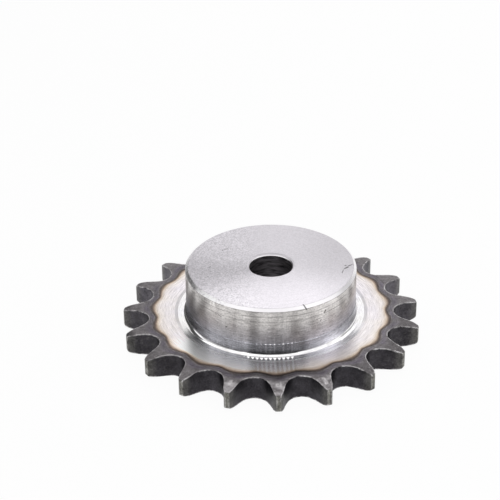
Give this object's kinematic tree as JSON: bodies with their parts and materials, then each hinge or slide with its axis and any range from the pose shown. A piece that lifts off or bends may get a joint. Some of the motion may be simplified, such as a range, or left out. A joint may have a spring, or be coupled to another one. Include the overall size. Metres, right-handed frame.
{
  "type": "chain sprocket",
  "caption": "Roller chain sprocket in machined steel: a toothed plate with side-relieved teeth and a cylindrical hub on one side, with a plain through bore.",
  "frame": {"origin": "on the bore's axis, at the mid-plane of the toothed plate, where the chain runs", "axes": "+Z along the bore towards the hub's end; the middle of one tooth points along -Y"},
  "size_m": [0.1042, 0.1038, 0.0264],
  "materials": {
    "machined_steel": "turned bare steel, satin on the hub and plate, with dark heat-hardened teeth"
  },
  "bodies": {
    "root": {"sprocket": "machined_steel"}
  },
  "joints": []
}
